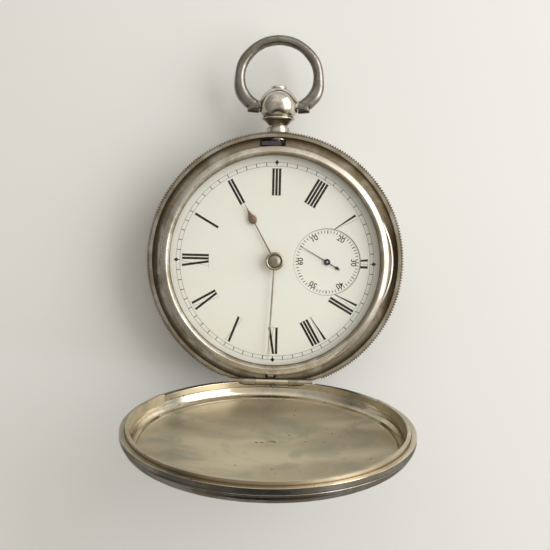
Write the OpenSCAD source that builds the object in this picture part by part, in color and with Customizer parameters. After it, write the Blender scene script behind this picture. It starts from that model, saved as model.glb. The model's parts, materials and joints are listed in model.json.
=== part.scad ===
// Key-wound hunter pocket watch, lying on its back with the front lid open.
// Millimetres. +Z leaves the dial, +Y points to the pendant, both cover hinges lie at -Y.
// The origin is on the watch's axis, in the plane the back rests on.

/* [Case] */
// Outside radius of the case band and both covers
case_r = 25; // [24.8:0.05:25.2]
// Height of the front lid's rim plane and hinge axis
lid_z = 10.1; // [10.1:0.05:10.2]
// Height of the back cover's rim plane and hinge axis
back_z = 4.45; // [4.4:0.05:4.45]
// Distance of the cover hinges from the watch's axis
hinge_y = 23.9; // [23.85:0.05:23.95]
// How far the front lid stands open
lid_open = 96.3; // [0:0.1:99]
// Sheet thickness of the covers
sheet = 0.5; // [0.45:0.05:0.55]
// Height of the closed front lid's crown
crown_z = 14.9; // [14.7:0.1:15.2]

/* [Pendant and bow] */
// Distance of the pendant ball from the watch's axis
ball_y = 30.9; // [30.7:0.1:31.2]
// Radius of the pendant ball
ball_r = 3.75; // [3.7:0.05:3.8]
// Radius of the bow ring to the middle of its wire
bow_r = 7.97; // [7.9:0.01:8.1]
// Radius of the bow's wire
bow_wire = 1.15; // [1.05:0.05:1.2]

/* [Dial and hands] */
// Height of the dial's face
dial_z = 9.1; // [9.05:0.05:9.15]
// Distance of the seconds dial from the centre
seconds_x = 10.3; // [10.2:0.1:10.4]
// Direction of the hour hand, from +X
hour_dir = 119.2; // [0:0.1:360]
// Direction of the minute hand, from +X
minute_dir = -92.8; // [-180:0.1:180]
// Direction of the seconds hand, from +X
seconds_dir = 149.8; // [0:0.1:360]

/* [Movement] */
// Radius of the movement's main plate
plate_r = 21; // [20.9:0.05:21]
// Running clearance around every pivot
play = 0.03; // [0.02:0.01:0.05]

/* [Hidden] */
$fn = 96;

silver = "#b8b4a8";
steel = "#8d9096";
blued = "#2b3350";
gilt = "#c9a552";
enamel = "#f2efe6";

// Band heights and radii
mid_z = (lid_z + back_z) / 2;
band_top = lid_z - 0.05;
band_bottom = back_z + 0.05;
cove_r = 1.2;
cove_at = 22.95;
edge_round = 0.7;
rim_in = 21.1;
rim_out = 21.5;
rest_z = 7.4;
rim_top = 9.7;
pocket_in = 22;
pocket_out = 24.2;
pocket_low = 5.6;
pocket_high = 8.3;
knuckle_r = 0.7;
knuckle_half = 3.2;
knuckle_end = 8;
gap = 0.05;
lip_in = 23.4;
lip_out = 23.98;
lip_drop = 0.6;
lip_arc = 246;

// Bezel and inner cover hinges
bezel_x = -22.7;
bezel_z = 9.4;
bezel_knuckle = 0.42;
inner_y = -22.6;
inner_z = 4.8;
inner_knuckle = 0.4;
pin_r = 0.17;
cover_pin_r = 0.3;
fit = 0.02;
snap_arc = 240;

// Pendant parts
pivot_y = ball_y - 0.6;
foot_in = 3.8;
foot_out = 6.2;
cap_r = 1.55;
stem_r = 0.9;

// Movement heights
plate_low = 6.2;
plate_high = 8.15;
recess_z = 7.1;
bar_high = 3.7;
bar_low = 2.6;

// Gear modules and train layout
train_m = 0.2;
escape_m = 0.18;
motion_m = 0.2;
centre = [0, 0];
fourth_at = [seconds_x, 0];
third_at = crossing(centre, fourth_at, mesh_gap(64, 8, train_m), mesh_gap(60, 8, train_m));
barrel_at = [-mesh_gap(80, 10, train_m), 0];
balance_at = along(centre, -75, 13.8);
escape_r = 3.6;
seconds_pivot_r = 0.17;
seconds_dial_r = 6.82;
dial_feet = [for (a = [35, 150, 250]) along(centre, a, 18.5)];
fork_gap = escape_r / cos(30) + 0.04;
staff_gap = 5.6;
escape_at = crossing(fourth_at, balance_at, mesh_gap(60, 6, escape_m), fork_gap + staff_gap);
fork_dir = bearing(escape_at, balance_at);
pallet_at = along(escape_at, fork_dir, fork_gap);
motion_gap = mesh_gap(12, 36, motion_m);
hour_m = motion_gap * 2 / 50;
minute_wheel_at = along(centre, 60, motion_gap);

// Gear phases, so that every pair is in mesh at rest
phase_centre = 0;
phase_third_pinion = meshed(bearing(centre, third_at), phase_centre, 64, 8);
phase_third = 0;
phase_fourth_pinion = meshed(bearing(third_at, fourth_at), phase_third, 60, 8);
phase_fourth = 0;
phase_escape_pinion = meshed(bearing(fourth_at, escape_at), phase_fourth, 60, 6);
phase_centre_pinion = 0;
phase_barrel = meshed(bearing(centre, barrel_at), phase_centre_pinion, 10, 80);
phase_cannon = 0;
phase_minute = meshed(bearing(centre, minute_wheel_at), phase_cannon, 12, 36);
phase_minute_pinion = 0;
phase_hour = meshed(bearing(minute_wheel_at, centre), phase_minute_pinion, 10, 40);

function mesh_gap(a, b, m) = (a + b) * m / 2;
function along(p, dir, d) = [p[0] + d * cos(dir), p[1] + d * sin(dir)];
function bearing(p, q) = atan2(q[1] - p[1], q[0] - p[0]);
// The point at distance a from p and b from q, on the left of the line from p to q
function crossing(p, q, a, b) =
    let (
        d = norm(q - p),
        u = (a * a - b * b + d * d) / (2 * d),
        h = sqrt(a * a - u * u),
        dir = bearing(p, q)
    )
    along(along(p, dir, u), dir + 90, h);
// Phase of a mate wheel that lies in direction dir, so that a tooth meets a gap
function meshed(dir, phase, teeth, mate) =
    dir + 180 - (0.5 - (dir - phase) * teeth / 360) * 360 / mate;
function ring_point(r, a) = [r * cos(a), r * sin(a)];

// Radius of the circle whose cap has this half chord and rise
function dome_radius(chord, rise) = (chord * chord + rise * rise) / (2 * rise);

// ---- shared shapes ----

module at(p, z = 0) { translate([p[0], p[1], z]) children(); }

module disc(r, low, high) { translate([0, 0, low]) cylinder(r = r, h = high - low); }

module tube(r, hole, low, high) {
    difference() {
        disc(r, low, high);
        disc(hole, low - 1, high + 1);
    }
}

// A rod along X between two ends
module rod_x(r, from, to) {
    translate([from, 0, 0]) rotate([0, 90, 0]) cylinder(r = r, h = to - from);
}

// A block given by its low and high corners
module block(low, high) { translate(low) cube(high - low); }

// An upright bar of constant width between two points
module link(p, q, width, low, high) {
    at(p) rotate([0, 0, bearing(p, q)]) block([0, -width / 2, low], [norm(q - p), width / 2, high]);
}

// A ring of section 2D shapes, over an arc centred on +Y
module arc_about_y(arc) { rotate([0, 0, 90 - arc / 2]) rotate_extrude(angle = arc) children(); }

// A piece of a ring, over an arc centred on -Y
module sector(r, hole, low, high, arc) {
    rotate([0, 0, 180]) arc_about_y(arc) translate([hole, low]) square([r - hole, high - low]);
}

// Straight-flanked teeth of a wheel or pinion, as an upright prism
module toothed(teeth, m, low, high, phase, root_drop = 1.2, tip_rise = 0.85, root_w = 0.5, tip_w = 0.2) {
    pitch_r = teeth * m / 2;
    step = 360 / teeth;
    tip = pitch_r + tip_rise * m;
    root = pitch_r - root_drop * m;
    tooth = [[root, -root_w], [tip, -tip_w], [tip, tip_w], [root, root_w]];
    points = [for (i = [0:teeth - 1], p = tooth) ring_point(p[0], phase + (i + p[1] / 2) * step)];
    translate([0, 0, low]) linear_extrude(high - low) polygon(points);
}

// A spoked wheel with a rim of teeth
module spoked_wheel(teeth, m, low, high, phase, spokes, hub, bore) {
    rim = teeth * m / 2 - 3.2 * m;
    difference() {
        toothed(teeth, m, low, high, phase);
        difference() {
            disc(rim, low - 1, high + 1);
            disc(hub, low - 2, high + 2);
            for (i = [0:spokes - 1])
                rotate([0, 0, i * 360 / spokes + 20]) block([0, -0.3, low - 2], [rim + 1, 0.3, high + 2]);
        }
        disc(bore, low - 1, high + 1);
    }
}

// An arbor with a pivot at each end
module arbor(r, pivot_r, low, high, pivot_low, pivot_high) {
    disc(r, low, high);
    disc(pivot_r, pivot_low, low + 0.01);
    disc(pivot_r, high - 0.01, pivot_high);
}

// A pinion's leaves
module leaves(teeth, m, low, high, phase) {
    toothed(teeth, m, low, high, phase, root_drop = 1.25, tip_rise = 0.6, root_w = 0.34, tip_w = 0.2);
}

// ---- case band, hinges and springs ----

module band_section() {
    difference() {
        union() {
            translate([rim_in, band_bottom]) square([case_r - edge_round - rim_in, band_top - band_bottom]);
            translate([rim_in, band_bottom + edge_round])
                square([case_r - rim_in, band_top - band_bottom - 2 * edge_round]);
            for (z = [band_bottom + edge_round, band_top - edge_round])
                translate([case_r - edge_round, z]) circle(edge_round);
        }
        translate([cove_at, band_top]) circle(cove_r);
        translate([cove_at, band_bottom]) circle(cove_r);
        translate([rim_out + 0.25, band_top - cove_r]) square([cove_at - rim_out - 0.25, 3]);
        translate([rim_out, band_bottom + cove_r - 3]) square([cove_at - rim_out, 3]);
        translate([rim_in - 1, 0]) square([rim_out - rim_in + 1, band_bottom + 0.25]);
        translate([rim_in - 1, rest_z]) square([rim_out - rim_in + 1, 5]);
        translate([rim_in - 1, rim_top]) square([rim_out - rim_in + 1.25, 2]);
    }
}

module spring_pocket(from, to) {
    rotate([0, 0, 90 + from]) rotate_extrude(angle = to - from)
        translate([pocket_in, pocket_low]) square([pocket_out - pocket_in, pocket_high - pocket_low]);
}

// Fixed knuckles on one cover hinge; side is 1 at the front, -1 at the back
module fixed_knuckles(z, side) {
    for (s = [-1, 1]) {
        low = s > 0 ? knuckle_half + gap : -knuckle_end;
        high = s > 0 ? knuckle_end : -knuckle_half - gap;
        translate([0, -hinge_y, z]) rod_x(knuckle_r, low, high);
        root = z - side * 1.3;
        block([low, -hinge_y - 0.1, min(z, root)], [high, -hinge_y + 0.65, max(z, root)]);
    }
}

module case_band() {
    color(silver) difference() {
        union() {
            difference() {
                rotate_extrude() band_section();
                block([-8.6, -26, lid_z - 1.15], [8.6, -hinge_y - 0.1, lid_z + 1]);
                block([-8.6, -26, back_z - 1], [8.6, -hinge_y - 0.1, back_z + 1.15]);
            }
            fixed_knuckles(lid_z, 1);
            fixed_knuckles(back_z, -1);
            for (s = [0, 1]) mirror([0, s, 0]) {
                block([bezel_x - 0.3, 1.55, 8.7], [bezel_x + 0.3, 3.2, bezel_z]);
                translate([bezel_x, 3.2, bezel_z]) rotate([90, 0, 0]) cylinder(r = bezel_knuckle, h = 1.65);
            }
            for (s = [0, 1]) mirror([s, 0, 0]) {
                block([2.55, inner_y - 0.3, inner_z], [5, inner_y + 0.3, 5.85]);
                translate([0, inner_y, inner_z]) rod_x(inner_knuckle, 2.55, 5);
            }
        }
        for (z = [lid_z, back_z]) translate([0, -hinge_y, z]) {
            rod_x(knuckle_r + 0.1, -knuckle_half - gap, knuckle_half + gap);
            rod_x(cover_pin_r + fit, -9, 9);
        }
        translate([bezel_x, 4, bezel_z]) rotate([90, 0, 0]) cylinder(r = pin_r + fit, h = 8);
        translate([0, inner_y, inner_z]) rod_x(pin_r + fit, -6, 6);
        spring_pocket(-12, 66);
        spring_pocket(168, 246);
        block([-3.4, 22.1, 8], [1.6, 23.75, 9.2]);
        block([-1.3, -23.35, 8], [0.7, -22.3, 9.2]);
        translate([0, 0, mid_z]) rotate([-90, 0, 0]) cylinder(r = stem_r + play, h = 30);
        translate([0, 23.5, mid_z]) rotate([-90, 0, 0]) cylinder(r = 2.25, h = 10);
        for (p = spring_roots) at(p) disc(0.42, pocket_high - 1, 8.75);
        for (p = case_screw_at) at(p) disc(1.25, 4, plate_low + 0.02);
    }
}

spring_root = 60;
spring_mid_r = 22.75;
spring_roots = [for (a = [90, 270]) along(centre, a + spring_root, spring_mid_r)];
case_screw_at = [for (a = [128, -8]) along(centre, a, 20.4)];

// A flat steel strip bent along the inside of the band, with an eye at its root
module spring_strip() {
    difference() {
        union() {
            rotate([0, 0, 90]) rotate_extrude(angle = spring_root)
                translate([spring_mid_r - 0.2, 6.05]) square([0.4, 1.6]);
            at(spring_roots[0]) disc(0.65, 6, 7.7);
        }
        at(spring_roots[0]) disc(0.4 + play, 5, 9);
    }
}

module lock_spring() {
    color(steel) {
        spring_strip();
        block([-3, 22.5, 7.4], [0.8, 23.15, 9.9]);
        intersection() {
            block([-3, 22.5, 9.82], [0.8, 24, 10.15]);
            disc(lip_in - 0.04, 9, 11);
        }
    }
}

module fly_spring() {
    color(steel) rotate([0, 0, 180]) {
        spring_strip();
        block([-0.3, 22.5, 7.4], [0.9, 23.1, 9.35]);
    }
}

module lock_spring_screws() {
    color(steel) for (p = spring_roots) at(p) {
        disc(0.4, 5.9, 8.7);
        difference() {
            disc(0.62, 5.65, 5.95);
            block([-1, -0.09, 5], [1, 0.09, 5.75]);
        }
    }
}

module hinge_pin(r, y, z, half) { color(steel) translate([0, y, z]) rod_x(r, -half, half); }

module bezel_hinge_pin() {
    color(steel) translate([bezel_x, 3.1, bezel_z]) rotate([90, 0, 0]) cylinder(r = pin_r, h = 6.2);
}

// ---- pendant, bow and button ----

module on_pendant_axis() { translate([0, 0, mid_z]) rotate([-90, 0, 0]) children(); }

module pendant() {
    color(silver) difference() {
        on_pendant_axis() rotate_extrude() difference() {
            union() {
                polygon([[0, 23.6], [2.2, 23.6], [2.2, 26.75], [1.9, 26.8], [1.9, 27.1], [3.15, 28.3],
                    [3.15, 28.55], [2.6, 29], [0, 29]]);
                translate([0, ball_y]) intersection() {
                    circle(ball_r);
                    translate([0, -5]) square([5, 10]);
                }
                translate([3.05, 28.5]) circle(0.3);
            }
            square([stem_r + play, 40]);
            translate([0, 33.2]) square([cap_r + play, 5]);
        }
        for (s = [0, 1]) mirror([s, 0, 0]) translate([0, pivot_y, mid_z]) rod_x(0.5, 2.2, 5);
    }
}

module push_button() {
    cap_low = 33.95;
    cap_edge = 34.5;
    crown = 34.8;
    top_r = dome_radius(cap_r, crown - cap_edge);
    color(silver) on_pendant_axis() rotate_extrude() {
        translate([0, 23.35]) square([stem_r, 11]);
        intersection() {
            translate([0, crown - top_r]) circle(top_r);
            translate([0, cap_low]) square([cap_r, 5]);
        }
    }
}

module bow() {
    color(silver) translate([0, 0, mid_z]) difference() {
        union() {
            translate([0, ball_y + 4.3, 0]) rotate([0, 0, -41]) rotate_extrude(angle = 262)
                translate([bow_r, 0]) circle(bow_wire);
            for (s = [0, 1]) mirror([s, 0, 0]) translate([0, pivot_y, 0]) rod_x(1.1, foot_in, foot_out);
        }
        for (s = [0, 1]) mirror([s, 0, 0]) translate([0, pivot_y, 0]) rod_x(0.48, 3, 5.6);
    }
}

module bow_pivot_screws() {
    color(steel) for (s = [0, 1]) mirror([s, 0, 0]) translate([0, pivot_y, mid_z]) rod_x(0.45, 2.3, 5.5);
}

// ---- front lid ----

module about_hinge(angle) {
    translate([0, -hinge_y, lid_z]) rotate([angle, 0, 0]) translate([0, hinge_y, -lid_z]) children();
}

dome_edge = 24.3;
dome_rise = 2.9;
dome_r = dome_radius(dome_edge, dome_rise);

module lid_section() {
    difference() {
        union() {
            intersection() {
                translate([0, crown_z - dome_r]) circle(dome_r, $fn = 360);
                translate([0, lid_z]) square([case_r - 0.6, 9]);
            }
            translate([20, lid_z]) square([case_r - 20, 1.3]);
            translate([20, lid_z]) square([case_r - 20.6, 1.85]);
            translate([case_r - 0.6, lid_z + 1.3]) circle(0.6);
        }
        intersection() {
            translate([0, crown_z - dome_r]) circle(dome_r - sheet, $fn = 360);
            translate([-1, 0]) square([25, 20]);
        }
    }
}

module front_lid() {
    color(silver) about_hinge(lid_open) difference() {
        union() {
            difference() {
                rotate_extrude() lid_section();
                for (s = [0, 1]) mirror([s, 0, 0]) translate([0, -hinge_y, lid_z])
                    rod_x(knuckle_r + 0.1, knuckle_half, knuckle_end + 0.6);
                block([-9, -26, lid_z - 1], [9, -hinge_y - 0.7, lid_z + 1.9]);
            }
            intersection() {
                translate([0, -hinge_y, lid_z]) rod_x(knuckle_r, -knuckle_half, knuckle_half);
                block([-5, -26, 0], [5, -20, 20]);
            }
        }
        translate([0, -hinge_y, lid_z]) rod_x(cover_pin_r + play, -9, 9);
        translate([-0.3, -22, lid_z + 0.85]) rotate([90, 0, 0]) cylinder(r = 0.5, h = 5);
    }
}

module lid_snap_lip() {
    color(silver) about_hinge(lid_open) {
        arc_about_y(lip_arc) translate([lip_in, lid_z - lip_drop]) square([lip_out - lip_in, 1.7]);
        arc_about_y(24) translate([lip_in - 0.15, lid_z - lip_drop]) square([0.2, 0.25]);
    }
}

// ---- bezel and crystal ----

bead_r = 0.8;
bead_at = 21.4;
bead_z = 10.6;
seat_r = 21.15;
seat_z = 10.6;
skirt_in = 21.8;
skirt_out = 22.2;
crescent_r = 16;
crescent_x = 7;

module bezel_section() {
    difference() {
        union() {
            translate([bead_at, bead_z]) circle(bead_r);
            translate([skirt_in, 9]) square([skirt_out - skirt_in, bead_z - 9]);
        }
        translate([20, 8.5]) square([skirt_in - 20, 1.3]);
        translate([20, seat_z]) square([seat_r - 20, 0.45]);
    }
}

// Beaded ring with a snap skirt, a thumb crescent at +X and the hinge leaf's crescent at -X
module bezel() {
    color(silver) difference() {
        union() {
            difference() {
                rotate_extrude() bezel_section();
                rotate([0, 0, -90]) sector(skirt_out + 1, skirt_in - 1, 8, 9.45, 360 - snap_arc);
            }
            difference() {
                for (s = [-1, 1]) translate([s * crescent_x, 0, 0]) disc(crescent_r, 9.9, 10.3);
                disc(skirt_in + 0.1, 9, 11);
            }
            translate([bezel_x, 1.5, bezel_z]) rotate([90, 0, 0]) cylinder(r = bezel_knuckle, h = 3);
            block([bezel_x - 0.25, -1.5, bezel_z], [bezel_x + 0.25, 1.5, 10]);
        }
        translate([bezel_x, 4, bezel_z]) rotate([90, 0, 0]) cylinder(r = pin_r + play, h = 8);
    }
}

crystal_low = seat_z + 0.02;
crystal_rise = 1.6;
crystal_chord = 20.5;
crystal_hollow_rise = 1.2;
crystal_hollow_chord = 20.3;
crystal_step = 20.58;

// A domed disc with a stepped edge that sits in the bezel
module crystal() {
    outer_r = dome_radius(crystal_chord, crystal_rise);
    inner_r = dome_radius(crystal_hollow_chord, crystal_hollow_rise);
    color("#dfe8ea", 0.3) rotate_extrude() difference() {
        intersection() {
            translate([0, crystal_low + crystal_rise + 0.3 - outer_r]) circle(outer_r, $fn = 360);
            translate([0, crystal_low]) square([seat_r - 0.04, 5]);
        }
        intersection() {
            translate([0, crystal_low + crystal_hollow_rise - inner_r]) circle(inner_r, $fn = 360);
            translate([-1, crystal_low - 1]) square([22, 5]);
        }
        translate([crystal_step, crystal_low + 0.4]) square([3, 3]);
    }
}

// ---- back cover and inner dust cover ----

back_bulge = 44.9;
flat_r = 9;

module back_shape(drop, edge) {
    intersection() {
        translate([flat_r, back_bulge]) circle(back_bulge - drop, $fn = 360);
        translate([flat_r - 0.01, 0]) square([edge - flat_r, back_z + 1]);
    }
    translate([-1, drop]) square([flat_r + 1, back_z + 1 - drop]);
}

module back_cover() {
    wall = case_r - 1;
    color(silver) difference() {
        union() {
            difference() {
                rotate_extrude() difference() {
                    intersection() {
                        union() {
                            back_shape(0, case_r - 0.6);
                            translate([wall - 1, 3.3]) square([2, 2]);
                            translate([case_r - 0.6, 3.3]) circle(0.6);
                        }
                        square([30, back_z]);
                    }
                    back_shape(sheet, wall);
                }
                for (s = [0, 1]) mirror([s, 0, 0]) translate([0, -hinge_y, back_z])
                    rod_x(knuckle_r + 0.1, knuckle_half, knuckle_end + 0.6);
                block([-9, -26, back_z - 1.9], [9, -hinge_y - 0.7, back_z + 1]);
            }
            translate([0, -hinge_y, back_z]) rod_x(knuckle_r, -knuckle_half, knuckle_half);
            arc_about_y(lip_arc) translate([lip_in, back_z - 0.6]) square([0.6, 1]);
        }
        translate([0, -hinge_y, back_z]) rod_x(cover_pin_r + play, -9, 9);
    }
}

cuvette_r = 21.95;
cuvette_flat = 19.3;
cuvette_rise = 0.6;
cuvette_arc = dome_radius(cuvette_flat, cuvette_rise);

module cuvette_shape(drop) {
    intersection() {
        translate([0, 1.25 + cuvette_arc]) circle(cuvette_arc - drop, $fn = 720);
        polygon([[0, 0], [cuvette_r - drop, 0], [cuvette_r - drop, 6], [0, 6]]);
        polygon([[0, 0], [cuvette_flat - drop * 0.4, 0], [cuvette_flat - drop * 0.4, 1.85 + drop],
            [cuvette_r - drop, 4.5 + drop * 0.4], [cuvette_r - drop, 6], [0, 6]]);
    }
}

module dust_cover() {
    top = 5.45;
    color(silver) difference() {
        union() {
            difference() {
                rotate_extrude() intersection() {
                    difference() {
                        cuvette_shape(0);
                        cuvette_shape(0.4);
                    }
                    square([30, top]);
                }
                sector(cuvette_r + 1, cuvette_r - 1, 4.85, 6, 360 - snap_arc);
            }
            translate([0, inner_y, inner_z]) rod_x(inner_knuckle, -2.5, 2.5);
            block([-2.5, inner_y, inner_z - 0.25], [2.5, inner_y + 0.9, inner_z]);
        }
        translate([0, inner_y, inner_z]) rod_x(pin_r + play, -6, 6);
        disc(2, 0, 4);
        at(barrel_at) disc(2, 0, 4);
    }
}

// ---- dial and hands ----

module dial() {
    color(enamel) difference() {
        union() {
            disc(21.2, dial_z - 0.85, dial_z);
            for (p = dial_feet) at(p) disc(0.4, 6.6, dial_z - 0.5);
        }
        disc(1.5, 0, 20);
        at(fourth_at) disc(seconds_dial_r + play, 7, 20);
    }
}

module seconds_dial() { color(enamel) at(fourth_at) tube(seconds_dial_r, 0.4, dial_z - 0.85, dial_z - 0.25); }

// A round head drawn out to a point on a thin stem: a spade hand lying along +X
module spade(length, bulb_at, bulb_r, stem, low, high) {
    start = bulb_at + bulb_r * 0.55;
    taper = [for (i = [0:8]) [start + i / 8 * (length - start), 0.82 * bulb_r * pow(1 - i / 8, 1.7) + 0.005]];
    translate([0, 0, low]) linear_extrude(high - low) {
        polygon([[0, -stem], [bulb_at, -stem * 0.8], [bulb_at, stem * 0.8], [0, stem]]);
        translate([bulb_at, 0]) circle(bulb_r);
        polygon(concat(taper, [for (i = [8:-1:0]) [taper[i][0], -taper[i][1]]]));
    }
}

module hour_hand() {
    color("#7a4a34") difference() {
        union() {
            disc(1.6, 9.6, 9.78);
            rotate([0, 0, hour_dir]) spade(12.8, 9.2, 0.85, 0.22, 9.62, 9.76);
        }
        disc(1.12 + play, 9, 10);
    }
}

module minute_hand() {
    color("#a79a80") difference() {
        union() {
            disc(1.5, 10.1, 10.3);
            rotate([0, 0, minute_dir]) translate([0, 0, 10.12]) linear_extrude(0.14)
                polygon([[0, -0.19], [14, -0.15], [19.6, -0.05], [19.6, 0.05], [14, 0.15], [0, 0.19]]);
        }
        disc(0.82 + play, 9, 11);
    }
}

module seconds_hand() {
    color(blued) at(fourth_at) difference() {
        rotate([0, 0, seconds_dir]) {
            disc(0.55, 8.98, 9.2);
            translate([0, 0, 9.03]) linear_extrude(0.1)
                polygon([[-2, -0.1], [6, -0.04], [6, 0.04], [-2, 0.1]]);
            translate([-2.2, 0, 9.03]) linear_extrude(0.1)
                polygon([[0.3, -0.12], [0, -0.38], [-0.75, 0], [0, 0.38], [0.3, 0.12]]);
        }
        disc(seconds_pivot_r + fit, 8, 10);
    }
}

// Domed collar and cap over the hands, on the cannon pinion
module hand_boss() {
    color(gilt) rotate_extrude() difference() {
        union() {
            translate([0, 10.32]) square([1.5, 0.32]);
            translate([1.5, 10.62]) circle(0.3);
            translate([0, 10.5]) intersection() {
                circle(1.16);
                square([1.2, 0.48]);
            }
        }
        translate([-1, 10]) square([1.85, 0.74]);
    }
}

// ---- plates, bars and cocks ----

sink_r = 8.6;

module plate_holes() {
    for (p = [third_at, fourth_at, escape_at, pallet_at, balance_at]) at(p) disc(0.8, 5, 6.95);
    at(fourth_at) disc(0.35, 5, 10);
    for (p = screw_at) at(p[0]) disc(0.45, 5, 7.5);
    for (p = case_screw_at) at(p) disc(0.45, 5, 7.5);
}

module main_plate() {
    color(gilt) difference() {
        union() {
            disc(plate_r, plate_low, plate_high);
            disc(21.45, rest_z + 0.01, plate_high);
            at(minute_wheel_at) disc(0.3, recess_z - 0.5, 7.95);
        }
        difference() {
            union() {
                disc(4.4, recess_z, 9);
                at(minute_wheel_at) disc(4.1, recess_z, 9);
            }
            at(minute_wheel_at) disc(0.3, 6, 7.95);
        }
        at(barrel_at) disc(sink_r, 5, 6.8);
        at(barrel_at) disc(0.7 + play, 5, 9);
        disc(0.6 + play, 5, 9);
        plate_holes();
        for (p = dial_feet) at(p) disc(0.4 + play, 5, 9);
    }
}

// Foot centres of the bars and cocks, with each screw's [place, head height]
barrel_feet = [for (a = [-120, 120]) along(barrel_at, a, 10.2)];
centre_foot = along(centre, 100, 13);
third_foot = along(centre, 62, 15.8);
fourth_foot = along(centre, 20, 17);
escape_foot = along(centre, -25, 17);
balance_foot = along(centre, -115, 16.2);
pallet_feet = [for (s = [-1, 1]) along(along(pallet_at, fork_dir, 1.1), fork_dir + 90 * s, 3.3)];
bar_feet = concat(barrel_feet, [centre_foot, third_foot, fourth_foot, escape_foot, balance_foot]);
screw_at = concat([for (p = bar_feet) [p, bar_low, 0.95]], [for (p = pallet_feet) [p, 5.2, 0.5]]);

module screw_sinks(points) {
    for (p = points) at(p[0]) {
        disc(p[2] + play, p[1] - 1, p[1] + (p[2] > 0.6 ? 0.5 : 0.15));
        disc(p[2] > 0.6 ? 0.48 : 0.3, 1, 7);
    }
}

// A bar from its foot on the main plate to a pivot
module bar(foot, end, width, end_r) {
    at(foot) disc(1.9, bar_low, plate_low - 0.01);
    link(foot, end, width, bar_low + 0.1, bar_high - 0.05);
    at(end) disc(end_r, bar_low, bar_high);
}

module jewel_hole(p) { at(p) disc(0.8, 1, bar_high + 1); }

module barrel_bridge() {
    color(gilt) difference() {
        union() {
            at(barrel_at) disc(6.4, bar_low, bar_high);
            for (f = barrel_feet) bar(f, barrel_at, 4.4, 2);
        }
        screw_sinks(screw_at);
        at(barrel_at) disc(0.9 + play, 0, 5);
        at(click_at) disc(0.3, 0, 5);
    }
}

module centre_bar() {
    color(gilt) difference() {
        bar(centre_foot, centre, 3, 1.9);
        screw_sinks(screw_at);
        disc(0.5 + play, 0, 5);
    }
}

module third_bar() {
    color(gilt) difference() {
        bar(third_foot, third_at, 2.8, 1.7);
        screw_sinks(screw_at);
        jewel_hole(third_at);
    }
}

module fourth_bar() {
    color(gilt) difference() {
        bar(fourth_foot, fourth_at, 2.8, 1.7);
        screw_sinks(screw_at);
        jewel_hole(fourth_at);
    }
}

module escape_cock() {
    color(gilt) difference() {
        bar(escape_foot, escape_at, 2.8, 1.7);
        screw_sinks(screw_at);
        jewel_hole(escape_at);
    }
}

module pallet_cock() {
    color(gilt) difference() {
        union() {
            for (p = pallet_feet) at(p) disc(0.8, 5.2, plate_low - 0.01);
            link(pallet_feet[0], pallet_feet[1], 1.4, 5.2, 5.5);
            link(along(pallet_at, fork_dir, 1.1), along(pallet_at, fork_dir, -0.6), 1.4, 5.2, 5.5);
        }
        screw_sinks(screw_at);
        at(pallet_at) disc(0.12 + play, 1, 7);
    }
}

stud_r = 3.15;
stud_at = along(balance_at, 100, stud_r);
cock_high = 3.5;

module balance_cock() {
    color(gilt) difference() {
        union() {
            at(balance_foot) disc(2.4, bar_low, plate_low - 0.01);
            link(balance_foot, balance_at, 3.4, bar_low + 0.1, cock_high);
            at(balance_at) disc(2.4, bar_low, cock_high);
            at(stud_at) disc(1, bar_low, cock_high);
        }
        screw_sinks(screw_at);
        jewel_hole(balance_at);
        at(stud_at) disc(0.2, 1, 5);
    }
}

module slotted_screw(head_r, head_low, head_h, shank_r, shank_high) {
    difference() {
        union() {
            disc(head_r, head_low, head_low + head_h);
            disc(shank_r, head_low, shank_high);
        }
        block([-2, -0.1, head_low - 1], [2, 0.1, head_low + head_h * 0.4]);
    }
}

module movement_screws() {
    color(blued) {
        for (p = screw_at) at(p[0]) rotate([0, 0, 25])
            slotted_screw(p[2], p[1], p[2] > 0.6 ? 0.48 : 0.13, p[2] > 0.6 ? 0.42 : 0.25, 7.2);
        at(click_at) rotate([0, 0, 70]) slotted_screw(0.55, 1.95, 0.2, 0.27, 3.4);
    }
}

module case_screws() {
    color(blued) for (p = case_screw_at) at(p) slotted_screw(1.1, 5.7, 0.48, 0.42, 7.2);
}

module jewel(p, low, high, hole) { at(p) tube(0.77, hole + 0.02, low, high); }

module train_jewels() {
    color("#a3264a") {
        for (p = [third_at, escape_at]) {
            jewel(p, bar_low + 0.1, bar_low + 0.6, 0.12);
            jewel(p, plate_low + 0.02, 6.6, 0.12);
        }
        jewel(fourth_at, bar_low + 0.1, bar_low + 0.6, 0.12);
        jewel(fourth_at, plate_low + 0.02, 6.6, 0.17);
        jewel(pallet_at, plate_low + 0.02, 6.6, 0.12);
        jewel(balance_at, bar_low + 0.1, bar_low + 0.6, 0.12);
        jewel(balance_at, plate_low + 0.02, 6.6, 0.12);
    }
}

// ---- going train ----

module centre_wheel() { color(gilt) spoked_wheel(64, train_m, 4, 4.25, phase_centre, 5, 1.6, 0.62); }

module centre_arbor() {
    color(steel) {
        disc(0.6, 3.75, 6.2);
        disc(0.5, 2.5, 3.8);
        disc(0.6, 6.1, recess_z - 0.05);
        disc(0.45, 7, 10.7);
        leaves(10, train_m, 5.5, 6.1, phase_centre_pinion);
        block([-0.45, -0.45, 1.6], [0.45, 0.45, 2.8]);
    }
}

module cannon_pinion() {
    color(steel) difference() {
        union() {
            disc(0.82, recess_z + 0.05, 10.7);
            leaves(12, motion_m, recess_z + 0.05, 7.55, phase_cannon);
        }
        disc(0.46, 7, 11);
    }
}

module minute_wheel() {
    color(gilt) at(minute_wheel_at) difference() {
        union() {
            toothed(36, motion_m, 7.2, 7.42, phase_minute);
            leaves(10, hour_m, 7.4, 8, phase_minute_pinion);
        }
        disc(0.3 + play, 7, 9);
    }
}

module hour_wheel() {
    color(gilt) difference() {
        union() {
            toothed(40, hour_m, 7.7, 7.92, phase_hour);
            disc(1.12, 7.7, 9.8);
        }
        disc(0.82 + play, 7, 11);
    }
}

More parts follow.
